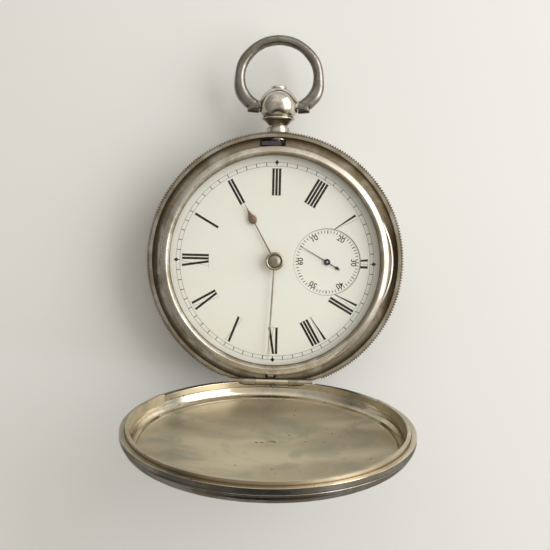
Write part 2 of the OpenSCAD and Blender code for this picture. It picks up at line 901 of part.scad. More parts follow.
module third_wheel() {
    color(gilt) at(third_at) spoked_wheel(60, train_m, 5.05, 5.3, phase_third, 5, 1.4, 0.32);
}

module third_pinion() {
    color(steel) at(third_at) {
        arbor(0.3, 0.12, 3.75, 6.15, 2.75, 6.55);
        leaves(8, train_m, 3.85, 4.45, phase_third_pinion);
    }
}

module fourth_wheel() {
    color(gilt) at(fourth_at) spoked_wheel(60, escape_m, 4.55, 4.75, phase_fourth, 5, 1.3, 0.32);
}

module fourth_pinion() {
    color(steel) at(fourth_at) {
        arbor(0.3, 0.12, 3.75, 6.15, 2.75, 6.2);
        disc(seconds_pivot_r, 6.1, 9.15);
        leaves(8, train_m, 4.9, 5.5, phase_fourth_pinion);
    }
}

// Fifteen pointed teeth leaning forward
module escape_wheel() {
    step = 360 / 15;
    points = [for (i = [0:14], p = [[2.7, 0], [escape_r, 0.3], [escape_r, 0.38], [2.75, 0.5]])
        ring_point(p[0], fork_dir + (i + p[1]) * step)];
    color(gilt) at(escape_at) difference() {
        translate([0, 0, 5.62]) linear_extrude(0.22) polygon(points);
        difference() {
            disc(2.2, 5, 7);
            disc(0.9, 4, 8);
            for (i = [0:3]) rotate([0, 0, i * 90]) block([0, -0.22, 4], [3, 0.22, 8]);
        }
        disc(0.22, 5, 7);
    }
}

module escape_pinion() {
    color(steel) at(escape_at) {
        arbor(0.2, 0.12, 3.75, 6.15, 2.75, 6.55);
        leaves(6, escape_m, 4.45, 4.9, phase_escape_pinion);
    }
}

// Two arms to the stones and a forked tail towards the balance
module pallet_fork() {
    tail = 3.7;
    color(steel) at(pallet_at) {
        rotate([0, 0, fork_dir]) difference() {
            union() {
                block([0, -0.25, 5.65], [tail, 0.25, 5.85]);
                block([tail - 0.5, -0.45, 5.65], [tail + 0.35, 0.45, 5.85]);
                for (s = [-1, 1]) rotate([0, 0, 180 + s * 67]) block([0, -0.2, 5.65], [1.9, 0.2, 5.85]);
                disc(0.5, 5.6, 5.9);
            }
            block([tail - 0.1, -0.2, 5], [tail + 1, 0.2, 7]);
        }
        arbor(0.25, 0.12, 5.55, 6.1, 5.15, 6.5);
    }
}

// Ruby blocks whose inner ends stop just outside the escape wheel's tooth tips
module pallet_stones() {
    color("#a3264a") for (s = [-1, 1]) at(escape_at) rotate([0, 0, fork_dir + s * 30])
        block([escape_r + 0.05, -0.16, 5.6], [escape_r + 0.55, 0.16, 5.9]);
}

rim_low = 4.5;
rim_high = 5.08;

module balance_wheel() {
    color(gilt) at(balance_at) difference() {
        union() {
            tube(6.65, 6.1, rim_low, rim_high);
            block([-6.3, -0.4, 4.65], [6.3, 0.4, 4.9]);
            disc(1, 4.6, 4.95);
        }
        disc(0.4 + 0.01, 4, 6);
        for (a = [14, 194]) rotate([0, 0, a]) block([5.5, -0.12, 4], [7, 0.12, 6]);
        for (a = balance_screw_dirs) rotate([0, 0, a]) translate([0, 0, 4.79]) rod_x(0.15, 5.8, 7);
    }
}

balance_screw_dirs = [for (s = [0, 180], i = [0:5]) s + 30 + i * 25];

module balance_screws() {
    color(gilt) at(balance_at) for (a = balance_screw_dirs) rotate([0, 0, a]) translate([0, 0, 4.79]) {
        rod_x(0.12, 6.2, 6.8);
        rod_x(0.27, 6.68, 7.08);
    }
}

// Staff with the roller table and its impulse pin
module balance_staff() {
    color(steel) at(balance_at) {
        arbor(0.4, 0.12, 3.6, 5.6, 2.75, 6.55);
        disc(0.25, 5.5, 6.1);
        disc(1.5, 5.25, 5.42);
        at(along(centre, fork_dir + 180, 1.2)) disc(0.14, 5.3, 5.58);
    }
}

// A flat spiral strip from radius a to radius b, ending in direction last
module coil(a, b, turns, strip, last) {
    steps = turns * 24;
    inner = [for (i = [0:steps]) ring_point(a + (b - a) * i / steps - strip / 2, last + 15 * (i - steps))];
    outer = [for (i = [steps:-1:0]) ring_point(a + (b - a) * i / steps + strip / 2, last + 15 * (i - steps))];
    polygon(concat(inner, outer));
}

module hairspring() {
    color(blued) at(balance_at) {
        translate([0, 0, 3.85]) linear_extrude(0.22) coil(0.75, stud_r, 5, 0.08, 100);
        at(stud_at - balance_at) disc(0.17, 2.7, 4.2);
    }
}

module regulator() {
    color(steel) at(balance_at) difference() {
        union() {
            disc(1.7, 2.3, 2.55);
            rotate([0, 0, 75]) block([0, -0.3, 2.3], [5.2, 0.3, 2.55]);
            rotate([0, 0, 255]) block([0, -0.25, 2.3], [3.2, 0.25, 2.55]);
            for (r = [2.82, 3.22]) rotate([0, 0, 255]) translate([r, 0, 0]) disc(0.07, 2.4, 4.1);
        }
        disc(0.9, 2, 3);
    }
}

// ---- mainspring barrel and winding ----

module mainspring_barrel() {
    color(gilt) at(barrel_at) {
        difference() {
            union() {
                toothed(80, train_m, 5.6, 5.95, phase_barrel);
                disc(7.5, 4.55, 6.72);
            }
            disc(7.1, 4.85, 6.45);
            disc(0.9 + play, 4, 7);
        }
    }
}

module mainspring() { color(steel) at(barrel_at, 4.95) linear_extrude(1.4) coil(3.2, 6.95, 7, 0.14, 0); }

module barrel_arbor() {
    color(steel) at(barrel_at) {
        disc(0.9, 2.5, 6.78);
        disc(2.4, 4.95, 6.35);
        disc(0.7, 6.7, 7.9);
        block([-0.6, -0.6, 1.6], [0.6, 0.6, 2.6]);
    }
}

ratchet_teeth = 26;
ratchet_tip = 3;

module ratchet_wheel() {
    points = [for (i = [0:ratchet_teeth - 1], p = [[ratchet_tip - 0.35, 0.02], [ratchet_tip, 0.05]])
        ring_point(p[0], (i + p[1]) * 360 / ratchet_teeth)];
    color(steel) at(barrel_at) difference() {
        translate([0, 0, 2.15]) linear_extrude(0.38) polygon(points);
        disc(0.87, 2, 3);
    }
}

click_at = along(barrel_at, -75, 4.3);
click_nose = along(barrel_at, -35, ratchet_tip + 0.12);

module click() {
    color(steel) difference() {
        union() {
            at(click_at) disc(0.75, 2.2, 2.5);
            link(click_at, click_nose, 0.5, 2.2, 2.5);
            at(click_nose) rotate([0, 0, 55]) block([-0.1, -0.2, 2.2], [0.1, 0.2, 2.5]);
        }
        at(click_at) disc(0.27 + play, 2, 3);
    }
}

module click_spring() {
    color(steel) difference() {
        at(barrel_at) rotate([0, 0, -82]) rotate_extrude(angle = 50)
            translate([5.6, 2.2]) square([0.22, 0.3]);
        at(click_at) disc(0.8, 1, 4);
    }
}

case_band();
pendant();
bow_pivot_screws();
lock_spring_screws();
fly_spring();
hinge_pin(cover_pin_r, -hinge_y, lid_z, 7.9);  // lid_hinge_pin
bezel_hinge_pin();
hinge_pin(cover_pin_r, -hinge_y, back_z, 7.9);  // back_hinge_pin
hinge_pin(pin_r, inner_y, inner_z, 4.9);  // dust_cover_hinge_pin
dial();
seconds_dial();
main_plate();
barrel_bridge();
centre_bar();
third_bar();
fourth_bar();
escape_cock();
pallet_cock();
balance_cock();
movement_screws();
case_screws();
train_jewels();
hairspring();
click_spring();
front_lid();
lid_snap_lip();
bezel();
crystal();
back_cover();
dust_cover();
bow();
push_button();
lock_spring();
centre_wheel();
centre_arbor();
cannon_pinion();
minute_hand();
hand_boss();
hour_wheel();
hour_hand();
minute_wheel();
third_wheel();
third_pinion();
fourth_wheel();
fourth_pinion();
seconds_hand();
escape_wheel();
escape_pinion();
pallet_fork();
pallet_stones();
balance_wheel();
balance_screws();
balance_staff();
mainspring_barrel();
mainspring();
barrel_arbor();
ratchet_wheel();
click();
regulator();
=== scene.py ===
"""An aged silver hunter pocket watch with its lid open."""

import json
import math

import bmesh
import bpy
import numpy as np
from mathutils import Matrix, Vector


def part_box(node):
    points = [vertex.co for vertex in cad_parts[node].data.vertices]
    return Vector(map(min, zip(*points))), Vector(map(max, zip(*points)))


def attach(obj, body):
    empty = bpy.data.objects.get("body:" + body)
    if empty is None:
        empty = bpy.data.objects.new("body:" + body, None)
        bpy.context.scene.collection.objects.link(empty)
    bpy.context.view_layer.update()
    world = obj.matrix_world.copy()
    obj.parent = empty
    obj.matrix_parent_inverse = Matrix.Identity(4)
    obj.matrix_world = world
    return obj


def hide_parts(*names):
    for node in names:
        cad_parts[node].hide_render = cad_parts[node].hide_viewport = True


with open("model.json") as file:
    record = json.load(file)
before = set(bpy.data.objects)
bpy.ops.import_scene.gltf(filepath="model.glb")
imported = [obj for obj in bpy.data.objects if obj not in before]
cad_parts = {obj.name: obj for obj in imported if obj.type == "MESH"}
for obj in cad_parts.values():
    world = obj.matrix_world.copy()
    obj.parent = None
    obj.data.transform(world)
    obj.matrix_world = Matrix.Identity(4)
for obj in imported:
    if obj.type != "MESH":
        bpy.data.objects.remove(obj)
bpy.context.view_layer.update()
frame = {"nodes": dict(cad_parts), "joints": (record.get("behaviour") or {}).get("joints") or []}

# Lengths are millimetres until a mesh is made
MM = 0.001
# Edges that turn by more degrees than this stay crisp
CRISP = 32
JOINTS = {joint["name"]: joint for joint in frame["joints"]}

# ---------------------------------------------------------------- materials


class Nodes:
    """Builds the node tree of one material or world with short calls."""

    def __init__(self, block):
        block.use_nodes = True
        self.block = block
        self.tree = block.node_tree
        self.tree.nodes.clear()
        self.coordinates = self.tree.nodes.new("ShaderNodeTexCoord").outputs
        self.place = self.coordinates["Generated"]

    def add(self, kind, settings=None, **inputs):
        node = self.tree.nodes.new("ShaderNode" + kind)
        for key, value in (settings or {}).items():
            setattr(node, key, value)
        for key, value in inputs.items():
            self.set(node.inputs[key.replace("_", " ")], value)
        return node

    def set(self, socket, value):
        if isinstance(value, bpy.types.NodeSocket):
            self.tree.links.new(value, socket)
        elif isinstance(value, tuple) and len(value) == 3 and socket.type == "RGBA":
            socket.default_value = (*value, 1)
        else:
            socket.default_value = value

    def stretched(self, x=1.0, y=1.0, z=1.0, turn=0.0):
        node = self.add("Mapping", Vector=self.place)
        node.inputs["Scale"].default_value = (x, y, z)
        node.inputs["Rotation"].default_value = (0, 0, math.radians(turn))
        return node.outputs["Vector"]

    def noise(self, scale, detail=4.0, roughness=0.55, distortion=0.0, place=None):
        node = self.add("TexNoise", Scale=scale, Detail=detail, Roughness=roughness)
        node.inputs["Distortion"].default_value = distortion
        self.set(node.inputs["Vector"], place or self.place)
        return node.outputs["Fac"]

    def spots(self, scale, place=None):
        node = self.add("TexVoronoi", Scale=scale)
        self.set(node.inputs["Vector"], place or self.place)
        return node.outputs["Distance"]

    def ramp(self, value, *stops):
        node = self.add("ValToRGB", Fac=value)
        ramp = node.color_ramp
        while len(ramp.elements) < len(stops):
            ramp.elements.new(0.5)
        for element, (at, colour) in zip(ramp.elements, stops):
            element.position = at
            grey = (colour,) * 3 if isinstance(colour, (int, float)) else colour
            element.color = (*grey, 1)
        return node.outputs["Color"]

    def mix(self, amount, a, b, blend="MIX"):
        node = self.add("Mix", {"data_type": "RGBA", "blend_type": blend})
        self.set(node.inputs[0], amount)
        self.set(node.inputs[6], a)
        self.set(node.inputs[7], b)
        return node.outputs[2]

    def math(self, operation, a, b=0.0, clamp=False):
        node = self.add("Math", {"operation": operation, "use_clamp": clamp})
        self.set(node.inputs[0], a)
        self.set(node.inputs[1], b)
        return node.outputs[0]

    def bump(self, height, strength, depth, normal=None):
        node = self.add("Bump", Height=height, Strength=strength, Distance=depth * MM)
        if normal:
            self.set(node.inputs["Normal"], normal)
        return node.outputs["Normal"]

    # Ambient occlusion, which the materials use to paint shade into creases
    def crevice(self, reach):
        node = self.add("AmbientOcclusion", {"samples": 6}, Distance=reach * MM)
        return node.outputs["AO"]

    def finish(self, **inputs):
        surface = self.add("BsdfPrincipled", **inputs)
        self.add("OutputMaterial", Surface=surface.outputs[0])
        return self.block


def surface_nodes(name):
    """The nodes of a new material, whose places are millimetres in the piece's own frame."""
    n = Nodes(bpy.data.materials.new(name))
    scale = n.add("Mapping", Vector=n.coordinates["Object"])
    scale.inputs["Scale"].default_value = (1 / MM,) * 3
    n.place = scale.outputs["Vector"]
    return n


def aged_silver(name, bright, tarnish, cover, rough, scratches=0.5, crease_shade_and_grime=0.85):
    """Silver with clouds of tarnish, fine scratches, pits, and creases darkened by painted shade and
    grime.
    """
    n = surface_nodes(name)
    dark = (0.05, 0.04, 0.03)
    clouds = n.noise(0.16, 5, 0.6, 0.6)
    fine = n.noise(1.7, 4, 0.6)
    patch = n.math("ADD", clouds, n.math("MULTIPLY", fine, 0.22))
    amount = n.ramp(patch, (0.62 - cover * 0.3, 0), (0.78 - cover * 0.2, 1))
    colour = n.mix(amount, bright, tarnish)
    # Painted shade: ambient occlusion darkens the creases, standing also for grime in them
    crease_shade = n.ramp(n.crevice(0.9), (0.25, 1), (0.8, 0))
    colour = n.mix(n.math("MULTIPLY", crease_shade, crease_shade_and_grime), colour, dark)
    pits = n.ramp(n.spots(0.55), (0.05, 1), (0.075, 0))
    sparse = n.ramp(n.noise(0.3, 2), (0.56, 0), (0.62, 1))
    colour = n.mix(n.math("MULTIPLY", pits, sparse), colour, dark)
    lines = 0.0
    for turn, scale in ((20, 7.0), (-35, 9.0), (80, 8.0)):
        streak = n.noise(1.0, 3, 0.5, 0.2, n.stretched(scale, 0.28, 1, turn))
        lines = n.math("ADD", lines, n.ramp(streak, (0.66, 0), (0.72, 1)))
    grain = n.noise(14, 3, 0.7)
    wear = n.math("MULTIPLY", lines, 0.10 * scratches)
    wear = n.math("ADD", wear, n.math("MULTIPLY", grain, 0.07))
    wear = n.math("ADD", wear, n.math("MULTIPLY", amount, 0.16))
    roughness = n.math("ADD", wear, rough, clamp=True)
    dents = n.bump(n.noise(0.55, 2, 0.4), 0.35, 0.05)
    normal = n.bump(n.math("SUBTRACT", grain, lines), 0.25 * scratches, 0.006, dents)
    edge = tuple(0.3 + 0.5 * c for c in bright)
    return n.finish(
        Base_Color=colour, Metallic=1.0, Roughness=roughness, Normal=normal, Specular_Tint=edge
    )


def lid_lining(name, dullness):
    """The lid's thinly gilt inside: broad soft olive and gold clouds, specks, fine scratches and painted
    shade in its creases.
    """
    n = surface_nodes(name)
    broad = n.noise(0.075, 2.5, 0.5, 0.5, n.stretched(0.8, 1, 1.5))
    shade = n.mix(n.ramp(broad, (0.36, 0), (0.64, 1)), (0.55, 0.49, 0.37), (0.73, 0.66, 0.52))
    green = n.ramp(n.noise(0.13, 3, 0.55, 0.8), (0.50, 0), (0.68, 1))
    shade = n.mix(n.math("MULTIPLY", green, 0.6), shade, (0.38, 0.39, 0.33))
    brown = n.ramp(n.noise(0.3, 4, 0.6), (0.60, 0), (0.75, 1))
    shade = n.mix(n.math("MULTIPLY", brown, 0.3), shade, (0.42, 0.31, 0.18))
    # Painted shade: ambient occlusion darkens the creases brown
    crease_shade = n.ramp(n.crevice(1.1), (0.35, 1), (0.9, 0))
    shade = n.mix(n.math("MULTIPLY", crease_shade, 0.7), shade, (0.20, 0.13, 0.06))
    pits = n.ramp(n.spots(0.6), (0.09, 1), (0.13, 0))
    sparse = n.ramp(n.noise(0.25, 2), (0.50, 0), (0.58, 1))
    shade = n.mix(n.math("MULTIPLY", pits, sparse), shade, (0.10, 0.07, 0.04))
    freckles = n.ramp(n.noise(2.2, 4, 0.7), (0.62, 0), (0.72, 1))
    shade = n.mix(n.math("MULTIPLY", freckles, 0.35), shade, (0.30, 0.23, 0.13))
    lines = 0.0
    for turn, scale in ((15, 6.0), (-25, 8.0)):
        streak = n.noise(1.0, 3, 0.5, 0.2, n.stretched(scale, 1, scale * 0.05, turn))
        lines = n.math("ADD", lines, n.ramp(streak, (0.68, 0), (0.74, 1)))
    grain = n.noise(9, 3, 0.7)
    rough = n.math("ADD", n.math("MULTIPLY", broad, 0.24), n.math("MULTIPLY", grain, 0.06))
    rough = n.math("ADD", rough, n.math("MULTIPLY", lines, 0.06))
    soft = n.bump(n.noise(0.22, 2, 0.4), 0.3, 0.12)
    normal = n.bump(n.math("SUBTRACT", grain, lines), 0.15, 0.004, soft)
    roughness = n.math("ADD", rough, dullness)
    return n.finish(Base_Color=shade, Metallic=1.0, Roughness=roughness, Normal=normal)


def turned_metal(name, colour, stain, rough, grain=16.0):
    """Machined brass, steel or gilt with a fine grain, faint stains and painted shade in its creases."""
    n = surface_nodes(name)
    stains = n.ramp(n.noise(0.9, 5, 0.6, 0.4), (0.45, 0), (0.75, 1))
    shade = n.mix(stains, colour, stain)
    # Painted shade: ambient occlusion darkens the creases
    crease_shade = n.ramp(n.crevice(0.5), (0.3, 1), (0.85, 0))
    shade = n.mix(n.math("MULTIPLY", crease_shade, 0.6), shade, tuple(c * 0.25 for c in stain))
    fine = n.noise(grain, 4, 0.7)
    roughness = n.math("ADD", n.math("MULTIPLY", fine, 0.14), rough)
    normal = n.bump(fine, 0.22, 0.012)
    return n.finish(Base_Color=shade, Metallic=1.0, Roughness=roughness, Normal=normal)


def fired_enamel(name, colour, warm):
    """Glossy off-white enamel with a barely uneven surface."""
    n = surface_nodes(name)
    shade = n.mix(n.ramp(n.noise(0.12, 4), (0.35, 0), (0.7, 1)), colour, warm)
    specks = n.ramp(n.spots(1.3), (0.03, 1), (0.045, 0))
    rare = n.ramp(n.noise(0.5, 2), (0.62, 0), (0.68, 1))
    shade = n.mix(n.math("MULTIPLY", specks, rare), shade, (0.35, 0.3, 0.24))
    rough = n.math("ADD", n.math("MULTIPLY", n.noise(3, 3), 0.08), 0.16)
    normal = n.bump(n.noise(0.5, 3), 0.12, 0.03)
    return n.finish(Base_Color=shade, Roughness=rough, Normal=normal, Coat_Weight=0.3)


def dial_ink(name):
    """Fired black paint, slightly brown where it is thin."""
    n = surface_nodes(name)
    thin = n.ramp(n.noise(4, 4), (0.4, 0), (0.8, 1))
    shade = n.mix(thin, (0.008, 0.008, 0.01), (0.03, 0.022, 0.018))
    rough = n.math("ADD", n.math("MULTIPLY", n.noise(9, 3), 0.2), 0.3)
    return n.finish(Base_Color=shade, Roughness=rough, Specular_IOR_Level=0.15)


def ruby(name):
    """Clouded pink-red jewel."""
    n = surface_nodes(name)
    shade = n.mix(n.ramp(n.noise(3, 3), (0.3, 0), (0.7, 1)), (0.42, 0.01, 0.05), (0.62, 0.05, 0.1))
    rough = n.math("ADD", n.math("MULTIPLY", n.noise(8, 2), 0.05), 0.06)
    return n.finish(Base_Color=shade, Roughness=rough, Coat_Weight=0.5)


def crystal_glass(name):
    """Thin clear glass: mostly see-through, with a faint reflection and a few wiping marks."""
    n = surface_nodes(name)
    marks = n.ramp(n.noise(1.0, 3, 0.5, 0.3, n.stretched(5, 0.3, 1, 30)), (0.62, 0.02), (0.75, 0.09))
    clear = n.add("BsdfTransparent", Color=(0.99, 0.995, 0.985))
    shine = n.add("BsdfGlossy", Roughness=marks, Color=(1.0, 1.0, 1.0))
    edge = n.add("LayerWeight", Blend=0.12)
    amount = n.math("ADD", n.math("MULTIPLY", edge.outputs["Facing"], 0.35), 0.02)
    both = n.add("MixShader")
    for socket, value in zip(both.inputs, (amount, clear.outputs[0], shine.outputs[0])):
        n.set(socket, value)
    n.add("OutputMaterial", Surface=both.outputs[0])
    return n.block


CASE = aged_silver("band_silver", (0.54, 0.50, 0.43), (0.31, 0.26, 0.18), 0.6, 0.3, crease_shade_and_grime=0.25)
BRIGHT = aged_silver("bezel_silver", (0.75, 0.71, 0.64), (0.52, 0.46, 0.37), 0.35, 0.22, 0.4)
LID = lid_lining("lid_lining", 0.27)
LID_WALL = lid_lining("lid_wall", 0.02)
LID_BACK = aged_silver("lid_outside", (0.30, 0.285, 0.26), (0.22, 0.195, 0.155), 0.3, 0.12)
OUTSIDE = aged_silver("cover_silver", (0.60, 0.58, 0.54), (0.44, 0.40, 0.33), 0.25, 0.14)
PENDANT = aged_silver("pendant_silver", (0.78, 0.75, 0.70), (0.50, 0.44, 0.35), 0.35, 0.05, 0.4)
BOW = aged_silver("bow_silver", (0.34, 0.325, 0.30), (0.21, 0.19, 0.155), 0.4, 0.13)
STEEL = turned_metal("steel", (0.56, 0.56, 0.57), (0.30, 0.26, 0.22), 0.2)
DUSKY = turned_metal("dusky_steel", (0.13, 0.11, 0.14), (0.08, 0.06, 0.07), 0.2)
BLUED = turned_metal("blued_steel", (0.03, 0.045, 0.11), (0.05, 0.05, 0.08), 0.18)
GILT = turned_metal("gilt_brass", (0.83, 0.62, 0.30), (0.60, 0.40, 0.17), 0.3, 24.0)
BRASS = turned_metal("boss_brass", (0.52, 0.44, 0.33), (0.36, 0.28, 0.19), 0.16)
BRONZE = turned_metal("cap_bronze", (0.38, 0.34, 0.27), (0.24, 0.20, 0.15), 0.36)
COPPER = turned_metal("rose_copper", (0.34, 0.23, 0.17), (0.18, 0.11, 0.08), 0.3)
PALE = turned_metal("pale_gold", (0.56, 0.50, 0.40), (0.34, 0.28, 0.2), 0.25)
ENAMEL = fired_enamel("dial_enamel", (0.98, 0.97, 0.925), (0.965, 0.94, 0.87))
# Grey enamel for the seconds dial's step: painted shade
ENAMEL_STEP_SHADE = fired_enamel("enamel_step_shade", (0.42, 0.41, 0.38), (0.34, 0.32, 0.29))
INK = dial_ink("dial_ink")
# Darker silver for the milled teeth: painted shade of the grooves, and grime in them
REEDED = aged_silver("reeded_silver", (0.30, 0.27, 0.22), (0.15, 0.12, 0.08), 0.5, 0.26)
RUBY = ruby("ruby")
GLASS = crystal_glass("crystal_glass")

NODE_FINISH = {
    "case_band": CASE,
    "lid_snap_lip": LID,
    "lock_spring": DUSKY,
    "bezel": CASE,
    "back_cover": OUTSIDE,
    "dust_cover": OUTSIDE,
    "crystal": GLASS,
    "dial": ENAMEL,
    "seconds_dial": ENAMEL,
    "train_jewels": RUBY,
    "pallet_stones": RUBY,
    "hairspring": BLUED,
    "movement_screws": BLUED,
    "case_screws": BLUED,
}
GILT_NODES = (
    "main_plate barrel_bridge centre_bar third_bar fourth_bar escape_cock pallet_cock balance_cock "
    "centre_wheel hour_wheel minute_wheel third_wheel fourth_wheel escape_wheel balance_wheel "
    "balance_screws mainspring_barrel"
).split()
for node_name, node in frame["nodes"].items():
    finish = NODE_FINISH.get(node_name, GILT if node_name in GILT_NODES else STEEL)
    node.data.materials.clear()
    node.data.materials.append(finish)

# ---------------------------------------------------------------- mesh helpers


def new_piece(name, parts, body, finish, replaces=(), sharp=CRISP):
    """One object from a list of (points in mm, faces), riding on a CAD body."""
    points, faces = [], []
    for part_points, part_faces in parts:
        first = len(points)
        points.extend(tuple(float(c) * MM for c in p) for p in part_points)
        faces.extend(tuple(first + i for i in face) for face in part_faces)
    mesh = bpy.data.meshes.new(name)
    mesh.from_pydata(points, [], faces)
    work = bmesh.new()
    work.from_mesh(mesh)
    bmesh.ops.remove_doubles(work, verts=work.verts, dist=1e-7)
    bmesh.ops.recalc_face_normals(work, faces=work.faces)
    work.to_mesh(mesh)
    work.free()
    piece = bpy.data.objects.new(name, mesh)
    bpy.context.scene.collection.objects.link(piece)
    mesh.shade_smooth()
    mesh.set_sharp_from_angle(angle=math.radians(sharp))
    mesh.materials.append(finish)
    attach(piece, body)
    if replaces:
        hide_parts(*replaces)
    return piece


def loft(rows, ring=False, caps=True):
    """Faces through rows of points: each row is a closed outline, and a ring of rows has no ends."""
    rows = [list(row) for row in rows]
    count, width = len(rows), len(rows[0])
    faces = []
    for i in range(count if ring else count - 1):
        a, b = i * width, (i + 1) % count * width
        for j in range(width):
            k = (j + 1) % width
            faces.append((a + j, a + k, b + k, b + j))
    if caps and not ring:
        faces.append(tuple(reversed(range(width))))
        faces.append(tuple(range((count - 1) * width, count * width)))
    return [p for row in rows for p in row], faces


def arc(x, y, r, start, end, steps):
    """Points of a circular arc in a plane, angles in degrees."""
    angles = np.radians(np.linspace(start, end, steps + 1))
    return [(x + r * math.cos(a), y + r * math.sin(a)) for a in angles]


def revolve(outline, steps=256, start=0.0, sweep=360.0):
    """An outline of (radius, z) points turned about Z; outline may be a function of the angle."""
    whole = sweep >= 360
    angles = start + sweep * np.arange(steps + (0 if whole else 1)) / steps
    rows = []
    for angle in angles:
        points = outline(angle) if callable(outline) else outline
        c, s = math.cos(math.radians(angle)), math.sin(math.radians(angle))
        rows.append([(r * c, r * s, z) for r, z in points])
    return loft(rows, ring=whole)


def slab(outline, low, high):
    """A flat plate: an outline of (x, y) points between two heights."""
    return loft([[(x, y, low) for x, y in outline], [(x, y, high) for x, y in outline]])


def moved(part, shift=(0, 0, 0), turn=0.0, axis="Z", about=(0, 0, 0)):
    """A part turned by degrees about an axis through a point, then shifted."""
    matrix = Matrix.Rotation(math.radians(turn), 3, axis)
    centre = Vector(about)
    points = [tuple(matrix @ (Vector(p) - centre) + centre + Vector(shift)) for p in part[0]]
    return points, part[1]


def final_mesh(piece):
    """A copy of a piece's mesh with its modifiers and text turned into faces."""
    bpy.context.view_layer.update()
    return bpy.data.meshes.new_from_object(piece.evaluated_get(bpy.context.evaluated_depsgraph_get()))


def carve(piece, cutters, operation="DIFFERENCE"):
    """Cuts closed parts out of a piece, or joins them to it, and keeps the result as its mesh."""
    for cutter in cutters:
        tool = new_piece("tool", [cutter], "case", piece.data.materials[0])
        boolean = piece.modifiers.new("carve", "BOOLEAN")
        boolean.operation, boolean.solver, boolean.object = operation, "MANIFOLD", tool
        cut = final_mesh(piece)
        piece.modifiers.clear()
        piece.data = cut
        bpy.data.objects.remove(tool)
    piece.data.shade_smooth()
    piece.data.set_sharp_from_angle(angle=math.radians(CRISP))


# ---------------------------------------------------------------- the dial's printing

DIAL_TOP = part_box("dial")[1].z / MM
SECONDS_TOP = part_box("seconds_dial")[1].z / MM
SECONDS_AT = sum(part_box("seconds_dial"), Vector()) / 2 / MM
SECONDS_EDGE = 6.58
# The ink starts a little inside the enamel
INK_HEIGHT, INK_SUNK = 0.02, 0.005
NUMERAL_LOW, NUMERAL_HIGH = 13.05, 18.3
NUMERALS = "I II III IIII V VI VII VIII IX X XI XII".split()
STROKE, HAIR, V_POINT = 0.46, 0.04, 0.08
SERIF, SERIF_OVERHANG = 0.03, 0.1
LETTER_WIDTH = {"I": 0.64, "V": 1.3, "X": 1.35}
# Half the spread of a V's or X's two strokes
SLANT = 0.42
TRACK_LOW, TRACK_HIGH = 18.75, 19.5
TRACK_LINE, MINUTE_TICK = 0.05, 0.13
QUARTER_DIAMOND = [(0, 18.98), (0.42, 19.48), (0, 19.98), (-0.42, 19.48)]
PRINT_SHIFT = (0.0, -0.2, 0.0)
# Inner end, outer end and width of the seconds dial's ticks
LONG_TICK, SHORT_TICK = (5.6, 6.24, 0.17), (5.66, 6.2, 0.12)
DIGITS_AT, DIGIT_SIZE = 5.2, 1.5


def stroke(a, b, width_a, width_b=None):
    """A straight stroke between two (u, v) points, as an outline."""
    width_b = width_a if width_b is None else width_b
    return [
        (a[0] - width_a / 2, a[1]),
        (a[0] + width_a / 2, a[1]),
        (b[0] + width_b / 2, b[1]),
        (b[0] - width_b / 2, b[1]),
    ]


def letter(kind, left):
    """Outlines of one Roman letter; u runs clockwise round the dial and v outwards."""
    low, high = NUMERAL_LOW, NUMERAL_HIGH
    middle = left + LETTER_WIDTH[kind] / 2
    if kind == "I":
        return [stroke((middle, low), (middle, high), STROKE)]
    if kind == "V":
        return [
            stroke((middle, low), (middle - SLANT, high), V_POINT, STROKE),
            stroke((middle, low), (middle + SLANT, high), HAIR),
        ]
    return [
        stroke((middle + SLANT, low), (middle - SLANT, high), STROKE),
        stroke((middle - SLANT, low), (middle + SLANT, high), HAIR),
    ]


def at_hour(outline, hour):
    """Puts (u, v) points at their hour: hour III lies towards +Y."""
    angle = math.radians(90 - (hour - 3) * 30)
    c, s = math.cos(angle), math.sin(angle)
    return [(v * c + u * s, v * s - u * c) for u, v in outline]


def numeral_outlines(hour, text):
    """Outlines of an hour's letters, side by side, with a fine serif line at both ends."""
    total = sum(LETTER_WIDTH[k] for k in text)
    left, outlines = -total / 2, []
    for kind in text:
        outlines.extend(letter(kind, left))
        left += LETTER_WIDTH[kind]
    for v in (NUMERAL_LOW, NUMERAL_HIGH):
        outlines.append(stroke((0, v - SERIF / 2), (0, v + SERIF / 2), total + SERIF_OVERHANG))
    return [at_hour(outline, hour) for outline in outlines]


def ink_ring(r, low):
    """A fine printed circle round the dial's middle."""
    near, far, high = r - TRACK_LINE / 2, r + TRACK_LINE / 2, low + INK_HEIGHT
    return revolve([(near, low), (far, low), (far, high), (near, high)], 360)


def tick(centre, angle, near, far, width, low):
    """A printed line pointing away from a centre."""
    c, s = math.cos(math.radians(angle)), math.sin(math.radians(angle))
    line = stroke((0, near), (0, far), width)
    outline = [(v * c + u * s + centre.x, v * s - u * c + centre.y) for u, v in line]
    return slab(outline, low, low + INK_HEIGHT)


def dial_printing():
    """Minute track, quarter diamonds and hour numerals, cut away over the seconds dial."""
    low = DIAL_TOP - INK_SUNK
    middle = Vector((0, 0, 0))
    parts = [ink_ring(r, low) for r in (TRACK_LOW, TRACK_HIGH)]
    for minute in range(60):
        parts.append(tick(middle, minute * 6, TRACK_LOW, TRACK_HIGH, MINUTE_TICK, low))
    outlines = [at_hour(QUARTER_DIAMOND, hour) for hour in (3, 6, 9, 12)]
    for hour, text in enumerate(NUMERALS, 1):
        outlines += numeral_outlines(hour, text)
    parts += [slab(outline, low, low + INK_HEIGHT) for outline in outlines]
    parts = [moved(part, PRINT_SHIFT) for part in parts]
    piece = new_piece("dial_printing", parts, "case", INK)
    rim = arc(SECONDS_AT.x, SECONDS_AT.y, SECONDS_EDGE + 0.03, 0, 360, 96)[:-1]
    carve(piece, [slab(rim, DIAL_TOP - 1, DIAL_TOP + 1)])


